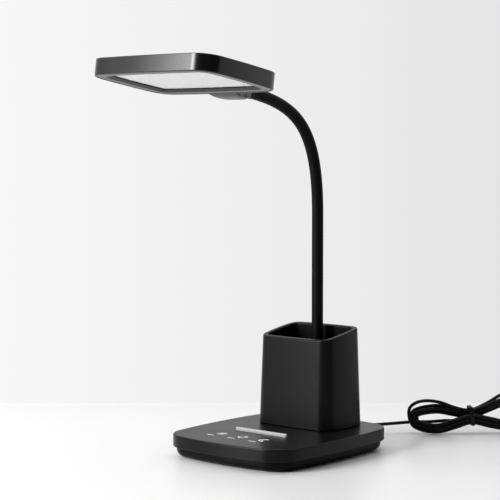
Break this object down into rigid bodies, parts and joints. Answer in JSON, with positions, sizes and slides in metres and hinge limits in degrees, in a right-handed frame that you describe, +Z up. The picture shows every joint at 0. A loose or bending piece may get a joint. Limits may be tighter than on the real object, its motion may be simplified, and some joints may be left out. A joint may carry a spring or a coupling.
{
  "type": "desk lamp with pen holder",
  "caption": "Black desk lamp with a weighted base, a pen cup, a phone stop bar, a bendable neck, a flat square light head and a tied cord with a plug.",
  "frame": {"origin": "On the table top, under the middle of the base: the centre of the non-slip pad's underside.", "axes": "+Z up. -Y towards the front of the lamp, the side that the head reaches over. +X to the right, seen from the front."},
  "size_m": [0.2956, 0.4518, 0.362],
  "materials": {
    "aluminium": "plain rolled sheet",
    "black_rubber": "matt",
    "board_green": "glass-fibre board with green mask",
    "bright_steel": "plain machined",
    "clear_guide": "clear moulded sheet",
    "copper": "thin plated metal",
    "matt_black": "matt moulded plastic or soft sleeve",
    "plain_iron": "plain cast",
    "satin_black": "satin moulded plastic",
    "silver_plastic": "silver grey, satin",
    "white_diffuser": "off-white, translucent"
  },
  "bodies": {
    "base": {"ballast_plate": "plain_iron", "base_screw_1": "bright_steel", "base_screw_2": "bright_steel", "base_screw_3": "bright_steel", "base_screw_4": "bright_steel", "base_top_shell": "satin_black", "base_tray": "matt_black", "board_screw_1": "bright_steel", "board_screw_2": "bright_steel", "cord_gland": "black_rubber", "cord_hank": "black_rubber", "cord_lead": "black_rubber", "cord_tail": "black_rubber", "cord_tie": "black_rubber", "cup_screw_1": "bright_steel", "cup_screw_2": "bright_steel", "cup_screw_3": "bright_steel", "cup_screw_4": "bright_steel", "neck_ferrule": "matt_black", "neck_nut": "bright_steel", "neck_root": "matt_black", "non_slip_pad": "black_rubber", "pen_cup": "satin_black", "phone_stop_bar": "silver_plastic", "plug_body": "black_rubber", "plug_contacts": "matt_black", "plug_shell": "bright_steel", "touch_board": "board_green", "touch_pad_left": "copper", "touch_pad_middle": "copper", "touch_pad_right": "copper"},
    "neck_1": {"neck_length_1": "matt_black"},
    "neck_2": {"neck_length_2": "matt_black"},
    "neck_3": {"neck_length_3": "matt_black"},
    "neck_4": {"neck_length_4": "matt_black"},
    "neck_5": {"neck_length_5": "matt_black"},
    "neck_6": {"neck_length_6": "matt_black"},
    "neck_7": {"neck_length_7": "matt_black"},
    "head": {"neck_length_8": "matt_black", "neck_collar": "matt_black", "head_back_cover": "satin_black", "head_bracket": "satin_black", "head_rim": "satin_black", "diffuser": "white_diffuser", "light_guide": "clear_guide", "reflector_sheet": "white_diffuser", "heat_spreader": "aluminium", "light_strip_left": "board_green", "light_strip_right": "board_green", "bracket_screw_left": "bright_steel", "bracket_screw_right": "bright_steel"}
  },
  "joints": [
    {"name": "neck_lean_low", "type": "hinge", "parent": "base", "child": "neck_1", "pos_m": [0, 0.0567, 0.137], "axis": [1, 0, 0], "range_deg": [-15, 15]},
    {"name": "neck_sway_low", "type": "hinge", "parent": "neck_1", "child": "neck_2", "pos_m": [0, 0.0567, 0.16883], "axis": [0, 1, 0], "range_deg": [-15, 15]},
    {"name": "neck_lean_high", "type": "hinge", "parent": "neck_2", "child": "neck_3", "pos_m": [0, 0.0567, 0.20065], "axis": [1, 0, 0], "range_deg": [-15, 15]},
    {"name": "neck_bend_low", "type": "hinge", "parent": "neck_3", "child": "neck_4", "pos_m": [0, 0.05645, 0.23247], "axis": [1, 0, 0], "range_deg": [-22, 14]},
    {"name": "neck_sway_middle", "type": "hinge", "parent": "neck_4", "child": "neck_5", "pos_m": [0, 0.0527, 0.26404], "axis": [0, 0.9764, 0.2159], "range_deg": [-15, 15]},
    {"name": "neck_bend_middle", "type": "hinge", "parent": "neck_5", "child": "neck_6", "pos_m": [0, 0.04129, 0.29358], "axis": [1, 0, 0], "range_deg": [-22, 14]},
    {"name": "neck_sway_high", "type": "hinge", "parent": "neck_6", "child": "neck_7", "pos_m": [0, 0.01879, 0.31568], "axis": [0, 0.5217, 0.8531], "range_deg": [-15, 15]},
    {"name": "neck_bend_high", "type": "hinge", "parent": "neck_7", "child": "head", "pos_m": [0, -0.01054, 0.32776], "axis": [1, 0, 0], "range_deg": [-22, 14]}
  ]
}
